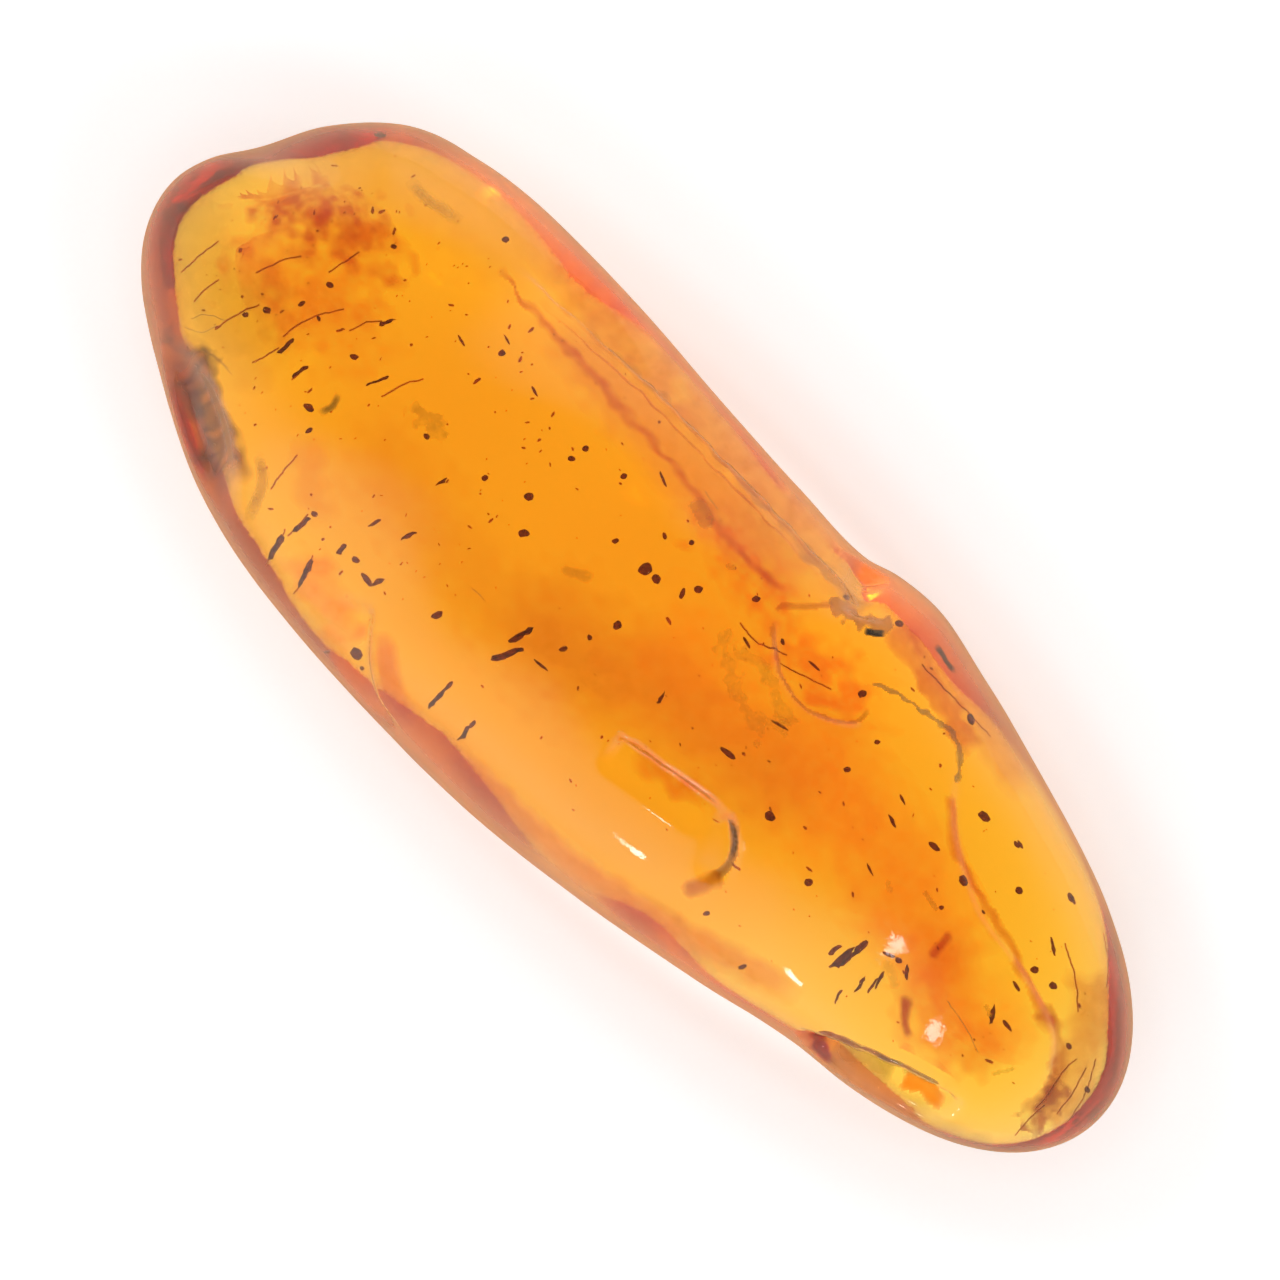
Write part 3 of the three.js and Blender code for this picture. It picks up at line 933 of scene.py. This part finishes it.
def treeWithInputs(name, inputs):
    tree = bpy.data.node_groups.new(name, "GeometryNodeTree")
    for label, kind in {"Geometry": "Geometry", **inputs}.items():
        tree.interface.new_socket(label, in_out="INPUT", socket_type="NodeSocket" + kind)
    tree.interface.new_socket("Geometry", in_out="OUTPUT", socket_type="NodeSocketGeometry")
    return tree, tree.nodes.new("NodeGroupInput"), tree.nodes.new("NodeGroupOutput")


def namedVector(tree, name):
    node = addNode(tree, "GeometryNodeInputNamedAttribute", {"Name": name}, data_type="FLOAT_VECTOR")
    return node.outputs["Attribute"]


def chain(tree, *nodes):
    # joins nodes by their geometry, each one's first output to the next one's first input
    for first, second in zip(nodes, nodes[1:]):
        tree.links.new(first.outputs[0], second.inputs[0])


def grainTree():
    tree, start, end = treeWithInputs("grainOnEachPoint", {
        "Grain Detail": "Int", "Roughen": "Float", "Lump Scale": "Float", "Material": "Material",
    })
    given = start.outputs
    grain = addNode(tree, "GeometryNodeMeshIcoSphere", {"Subdivisions": given["Grain Detail"]})
    turn = addNode(tree, "FunctionNodeEulerToRotation", {0: namedVector(tree, "turn")})
    extent = namedVector(tree, "extent")
    place = addNode(tree, "GeometryNodeInstanceOnPoints", {
        "Instance": grain.outputs["Mesh"], "Rotation": turn.outputs[0], "Scale": extent,
    })
    solid = addNode(tree, "GeometryNodeRealizeInstances")
    noise = addNode(tree, "ShaderNodeTexNoise", {"Detail": 1.0, "Scale": given["Lump Scale"]})
    centred = vectorMath(tree, "SUBTRACT", noise.outputs["Color"], (0.5, 0.5, 0.5))
    sized = vectorMath(tree, "MULTIPLY", centred, extent)
    scaled = vectorMath(tree, "SCALE", sized, given["Roughen"])
    uneven = addNode(tree, "GeometryNodeSetPosition", {"Offset": scaled})
    finish = addNode(tree, "GeometryNodeSetMaterial", {"Material": given["Material"]})
    chain(tree, start, place, solid, uneven, finish, end)
    return tree


def setInputs(modifier, tree, values):
    for socket in tree.interface.items_tree:
        if socket.in_out == "INPUT" and socket.name in values:
            modifier[socket.identifier] = values[socket.name]


def barkMaterial(name, dark, light, scale):
    material, tree = newMaterial(name)
    bark = addNode(tree, "ShaderNodeBsdfPrincipled", {
        "Base Color": mixColour(tree, mottle(tree, scale, 0.0, 1.0), dark, light),
        "Roughness": mottle(tree, scale * 3, *debris["roughness"]),
        "Transmission Weight": debris["letsThrough"], "IOR": sheets["ior"],
    })
    addNode(tree, "ShaderNodeOutputMaterial", {"Surface": bark.outputs[0]})
    return material


def makeGrains(name, tree, grains, flatness, material):
    piece = linkPiece(name, grainPoints(name, grains, flatness))
    modifier = piece.modifiers.new("grains", "NODES")
    modifier.node_group = tree
    setInputs(modifier, tree, {
        "Grain Detail": debris["grainDetail"], "Roughen": 2 * debris["roughen"],
        "Lump Scale": debris["lumpScale"], "Material": material,
    })
    settle(piece)


def makeDebris():
    tree = grainTree()
    bark = barkMaterial("barkSpecks", *debris["barkTones"])
    reddish = barkMaterial("rustyDust", *debris["dustTones"])
    makeGrains("barkSpecks", tree, placedGrains(debris["specks"]), debris["speckFlatness"], bark)
    makeGrains("plantNeedles", tree, placedGrains(debris["needles"]), debris["grainFlatness"], bark)
    makeGrains("rustyDust", tree, dustGrains(), debris["grainFlatness"], reddish)


makeDebris()


# Healed cracks and hairs, swept along given routes by a node tree

threads = {
    "crackRoutes": [  # depth, picture route
        (0.9, [(175, 275), (196, 258), (215, 243)]), (0.9, [(190, 305), (204, 292), (217, 283)]),
        (1.2, [(255, 275), (280, 264), (302, 258)]), (1.3, [(330, 275), (348, 262), (362, 254)]),
        (0.7, [(214, 333), (234, 320), (262, 308)]),
        (1.1, [(284, 340), (302, 327), (320, 319), (346, 312)]),
        (0.9, [(252, 366), (266, 360), (281, 352)]), (1.1, [(292, 384), (300, 378), (308, 371)]),
        (1.0, [(352, 335), (366, 327), (384, 324)]), (0.8, [(268, 494), (282, 476), (299, 459)]),
        (0.6, [(263, 568), (274, 550), (282, 534)]), (0.6, [(284, 542), (295, 530), (306, 519)]),
        (0.5, [(291, 598), (301, 582), (308, 561)]), (1.3, [(385, 400), (405, 388), (425, 383)]),
        (0.5, [(1036, 1112), (1050, 1096), (1062, 1078), (1080, 1060)]),
        (0.5, [(1014, 1140), (1030, 1122), (1046, 1108)]),
        (0.45, [(1058, 1118), (1076, 1096), (1090, 1070)]),
        (0.4, [(1070, 1128), (1088, 1100), (1100, 1060)]),
        (0.5, [(1066, 940), (1076, 975), (1080, 1010)]), (0.35, [(1105, 930), (1110, 960), (1108, 985)]),
        (0.9, [(780, 660), (806, 672), (836, 686)]), (1.0, [(740, 620), (760, 640), (790, 650)]),
        (0.5, [(925, 660), (955, 690), (995, 732)]),
    ],
    "hairRoutes": [
        (0.12, [(195, 322), (210, 318), (230, 324)]), (0.12, [(198, 365), (216, 358), (232, 372)]),
        (0.12, [(205, 352), (220, 362), (236, 378)]), (0.12, [(188, 330), (204, 336), (222, 330)]),
        (0.2, [(472, 590), (486, 603)]), (0.5, [(706, 492), (719, 510)]),
        (0.4, [(945, 1000), (962, 1024), (976, 1052)]),
    ],
    "crackWidth": 0.026,
    "hairWidth": 0.012,
    "spacing": 0.12,
    "wander": 0.16,
    "noiseScale": 2600.0,
    "swell": (0.3, 1.5),           # thinnest and thickest share of the width
    "sides": 6,
    # dark and light tone, scale of their mottle
    "crackTones": ((0.55, 0.14, 0.01), (0.85, 0.3, 0.03), 3000.0),
    "hairTones": ((0.75, 0.6, 0.35), (0.95, 0.85, 0.6), 3000.0),
}


def threadTree():
    tree, start, end = treeWithInputs("threadAlongRoutes", {
        "Spacing": "Float", "Wander": "Float", "Thread Radius": "Float", "Material": "Material",
    })
    given = start.outputs
    curve = addNode(tree, "GeometryNodeMeshToCurve")
    even = addNode(tree, "GeometryNodeResampleCurve", {"Length": given["Spacing"]}, mode="LENGTH")
    noise = addNode(tree, "ShaderNodeTexNoise", {"Scale": threads["noiseScale"]})
    centred = vectorMath(tree, "SUBTRACT", noise.outputs["Color"], (0.5, 0.5, 0.5))
    scaled = vectorMath(tree, "SCALE", centred, given["Wander"])
    wandering = addNode(tree, "GeometryNodeSetPosition", {"Offset": scaled})
    swell = mapRange(tree, noise.outputs[0], 0.35, 0.65, *threads["swell"], kind="LINEAR")
    thin = addNode(tree, "GeometryNodeSetCurveRadius", {"Radius": swell})
    ring = {"Resolution": threads["sides"], "Radius": given["Thread Radius"]}
    profile = addNode(tree, "GeometryNodeCurvePrimitiveCircle", ring)
    sweep = addNode(tree, "GeometryNodeCurveToMesh", {
        "Profile Curve": profile.outputs[0], "Fill Caps": True,
    })
    solid = addNode(tree, "GeometryNodeRealizeInstances")
    finish = addNode(tree, "GeometryNodeSetMaterial", {"Material": given["Material"]})
    chain(tree, start, curve, even, wandering, thin, sweep, solid, finish, end)
    return tree


def makeThreads(name, tree, routes, width, material):
    places = []
    edges = []
    for depth, route in routes:
        spots = smoothRoute(route, 12)
        under, inside = underSkin(spots, depth)
        edges += [(len(places) + i, len(places) + i + 1) for i in range(len(under) - 1)]
        places += (under * mm).tolist()
    mesh = bpy.data.meshes.new(name)
    mesh.from_pydata(places, edges, [])
    piece = linkPiece(name, mesh)
    modifier = piece.modifiers.new("threads", "NODES")
    modifier.node_group = tree
    setInputs(modifier, tree, {
        "Spacing": threads["spacing"] * mm, "Wander": threads["wander"] * mm,
        "Thread Radius": width * mm, "Material": material,
    })
    settle(piece)


def makeAllThreads():
    tree = threadTree()
    rust = barkMaterial("rustyCracks", *threads["crackTones"])
    pale = barkMaterial("paleHairs", *threads["hairTones"])
    makeThreads("rustyCracks", tree, threads["crackRoutes"], threads["crackWidth"], rust)
    makeThreads("paleHairs", tree, threads["hairRoutes"], threads["hairWidth"], pale)


makeAllThreads()


# Cloudy sheets just under the skin: spangles and painted highlights, broken milky edges and a painted sheen
# on the tip's lower flank, and the floor of the old scar

def cloudMaterial(name, cloud):
    material, tree = newMaterial(name)
    hue, cover = (addNode(tree, "ShaderNodeAttribute", attribute_name=label) for label in ("hue", "cover"))
    share = mottle(tree, cloud["mottle"], *sheets["stained"])
    matter = addNode(tree, "ShaderNodeBsdfPrincipled", {
        "Base Color": mixColour(tree, share, sheets["stain"], hue.outputs["Color"]),
        "Roughness": mottle(tree, 2 * cloud["mottle"], *cloud["roughness"]),
        "Alpha": cover.outputs["Fac"],
        "Transmission Weight": cloud["letsThrough"], "IOR": sheets["ior"],
    })
    addNode(tree, "ShaderNodeOutputMaterial", {"Surface": matter.outputs[0]})
    return material


def coverAttribute(mesh, cover):
    layer = mesh.attributes.new("cover", "FLOAT", "POINT")
    layer.data.foreach_set("value", cover)


def makeCloud(name, cloud, seed):
    spots, rows, columns = sheetSpots(cloud["strokes"], cloud["step"])
    hue = np.tile(np.array(cloud["strokes"][0]["colour"], float), (len(spots), 1))
    clear = np.ones(len(spots))
    for k, stroke in enumerate(cloud["strokes"]):
        share = strokeShare(spots, stroke, seed + 10 * k)
        hue += (np.array(stroke["colour"]) - hue) * smooth(share, 0.0, 0.3)[:, None]
        clear *= 1 - share * stroke["cover"]
    if "rippled" in cloud:
        hue = rippledHue(spots, cloud["rippled"], seed)
    covered = np.flatnonzero(1 - clear > sheets["least"])
    mesh, used = sheetAt(name, spots, rows, columns, covered, cloud["depth"])
    paint(mesh, "hue", hue[used])
    coverAttribute(mesh, 1 - np.sqrt(clear[used]))  # seen through both faces
    finishSheet(mesh, cloudMaterial(name, cloud), cloud["thickness"])


def rippledHue(spots, ripple, seed):
    # bands of light and dark across the scar, and rings round its lower end
    deep = np.concatenate([spots, np.zeros((len(spots), 1))], axis=1)
    waver = ripple["waver"] * wavering(deep, ripple["waverCell"], seed + 1)
    across = spots @ unit(np.array(ripple["across"])) + waver
    bands = 0.5 + 0.5 * np.sin(2 * math.pi * across / ripple["pitch"])
    offset = (spots - np.array(ripple["ringSpot"])) * np.array(ripple["ringStretch"])
    fromRing = np.linalg.norm(offset, axis=1)
    rings = 0.5 + 0.5 * np.cos(2 * math.pi * (fromRing + waver) / ripple["ringPitch"])
    nearRing = 1 - smooth(fromRing, *ripple["ringFade"])
    patches = 0.55 + 0.45 * wavering(deep, ripple["patchCell"], seed + 2)
    light = (bands * (1 - nearRing) + rings * nearRing) * patches
    light = np.clip(light, 0.0, 1.0)[:, None]
    gap, share = gapToRoute(spots, ripple["route"])
    edge = smooth(gap, *ripple["edgeBand"])[:, None]
    hue = np.array(ripple["dark"]) * (1 - light) + np.array(ripple["light"]) * light
    return hue * (1 - edge) + np.array(ripple["edge"]) * edge


yellow = (1.0, 0.76, 0.05)
paleYellow = (1.0, 0.88, 0.3)
scarRoute = [(180, 342), (198, 398), (220, 455), (238, 496)]
clouds = {
    "yellowSpanglesAndHighlights": {
        "depth": 0.12, "letsThrough": 0.7, "step": 1.8, "thickness": 0.02,
        "roughness": (0.2, 0.5), "mottle": 2500.0,
        "strokes": [
            brush(8, 3, 7, (1.0, 0.82, 0.07), [(722, 640), (728, 662), (736, 694), (752, 716),
                  (778, 728)], cover=0.5, patchy=0.3, cell=8.0),
            brush(6, 3, 6, (1.0, 0.84, 0.08), [(735, 650), (760, 664), (772, 692), (790, 722)],
                  cover=0.5, patchy=0.3, cell=8.0),
            brush(8, 2.5, 3, yellow, [(698, 508), (704, 522)], cover=0.7),
            brush(5, 2, 3, yellow, [(727, 570)], cover=0.65),
            brush(10, 4, 6, (0.62, 0.5, 0.04), [(424, 416), (440, 432)], cover=0.55, patchy=0.5,
                  cell=6.0),
            brush(5, 3, 4, (0.8, 0.6, 0.03), [(570, 572), (590, 577)], cover=0.5),
            # painted highlights: pale streaks on the blunt end's top
            brush(5, 4, 2, paleYellow, [(408, 186), (438, 211), (466, 229)], cover=0.75, taper=0.3),
            brush(1.8, 1.6, 0, paleYellow, [(480, 165), (502, 186), (520, 206)], cover=0.6, taper=0.3),
            brush(5, 3, 1, yellow, [(263, 452), (267, 482), (251, 524)], cover=0.85, taper=0.25),
            # painted highlight: a thin yellow line along the dent's edge
            brush(2.0, 1.8, 0, yellow, [(616, 734), (655, 759), (700, 789), (722, 805)], cover=0.75,
                  taper=0.2),
            brush(4, 2, 2, yellow, [(755, 742)], cover=0.6),
            brush(2.6, 2, 0, yellow, [(922, 890), (932, 905)], cover=0.7),
            brush(3, 2, 0, yellow, [(885, 880), (887, 888)], cover=0.5),
            brush(6, 4, 3, yellow, [(884, 966), (892, 982)], cover=0.45),
            brush(2.4, 1.6, 0, yellow, [(983, 1003), (987, 1012)], cover=0.65),
            brush(2.4, 1.6, 2, yellow, [(990, 1072), (1008, 1066)], cover=0.5),
        ],
    },
    "ledgeCrustAndSheen": {
        "depth": 0.04, "letsThrough": 0.6, "step": 1.7, "thickness": 0.05,
        "roughness": (0.45, 0.8), "mottle": 2600.0,
        "strokes": [
            brush(4.5, 3, 5, (0.72, 0.42, 0.14), [(590, 318), (655, 388), (712, 450), (768, 512),
                  (812, 556)], cover=0.4, taper=0.15),
            brush(9, 4, 5, (0.8, 0.5, 0.2), [(795, 540), (840, 586), (876, 612)], cover=0.6, taper=0.2),
            brush(8, 2, 6, (0.95, 0.6, 0.26), [(834, 607), (858, 618), (882, 625)], cover=0.9,
                  cell=8.0),
            brush(2.6, 1.6, 2.5, (0.6, 0.56, 0.46), [(876, 683), (910, 700), (940, 722), (953, 735),
                  (958, 765), (955, 778)], cover=0.85, cell=8.0),
            brush(6, 4, 3, (0.58, 0.56, 0.46), [(905, 1076), (928, 1084)], cover=0.6),
            brush(10, 6, 3, (0.68, 0.5, 0.22), [(826, 1050), (860, 1062), (893, 1077)], cover=0.6,
                  taper=0.15),
            # painted sheen: milky tan on the tip's lower flank below the groove
            brush(14, 10, 4, (0.85, 0.6, 0.42), [(815, 1055), (880, 1102), (950, 1138), (1000, 1152)],
                  cover=0.4, taper=0.15),
        ],
    },
    "darkSlits": {
        "depth": 0.05, "letsThrough": 0.0, "step": 1.4, "thickness": 0.04,
        "roughness": (0.5, 0.8), "mottle": 4000.0,
        "strokes": [
            brush(3.4, 1.2, 1.5, (0.02, 0.012, 0.006), [(861, 630), (873, 633), (885, 634)],
                  cover=1.0, taper=0.2),
            brush(2.8, 1.2, 2, (0.05, 0.022, 0.01), [(932, 643), (945, 660), (955, 675)], cover=0.95,
                  taper=0.25),
            brush(2.4, 1.4, 1, (0.12, 0.1, 0.05), [(727, 812), (734, 838), (728, 862)], cover=0.75,
                  taper=0.3),
            brush(4, 3, 3, (0.2, 0.16, 0.03), [(326, 419), (338, 408), (346, 397)], cover=0.7,
                  taper=0.3),
            brush(2, 1.4, 1, (0.1, 0.06, 0.03), [(868, 1054), (888, 1062), (906, 1070)], cover=0.7,
                  taper=0.3),
        ],
    },
    "oldScar": {
        "depth": 0.06, "letsThrough": 0.8, "step": 1.7, "thickness": 0.04,
        "roughness": (0.25, 0.55), "mottle": 3000.0,
        "rippled": {
            "route": scarRoute, "edgeBand": (16.0, 26.0), "across": (0.55, 1.0), "pitch": 17.0,
            "waverCell": 16.0, "patchCell": 11.0, "ringStretch": (1.35, 1.0), "ringFade": (26.0, 40.0),
            "ringSpot": (232, 480), "ringPitch": 13.0, "waver": 7.0, "dark": (0.12, 0.016, 0.002),
            "light": (0.8, 0.24, 0.015), "edge": (0.06, 0.025, 0.008),
        },
        "strokes": [
            brush(24, 6, 5, (0.2, 0.03, 0.005), scarRoute, cover=0.93, taper=0.22),
            brush(10, 5, 6, (0.1, 0.03, 0.005), [(172, 338), (188, 352), (215, 366)], cover=0.8,
                  patchy=0.4, cell=8.0),
        ],
    },
}


def makeClouds():
    for seed, (name, cloud) in enumerate(clouds.items(), 1):
        makeCloud(name, cloud, sheets["cloudSeed"] + sheets["seedStep"] * seed)


makeClouds()
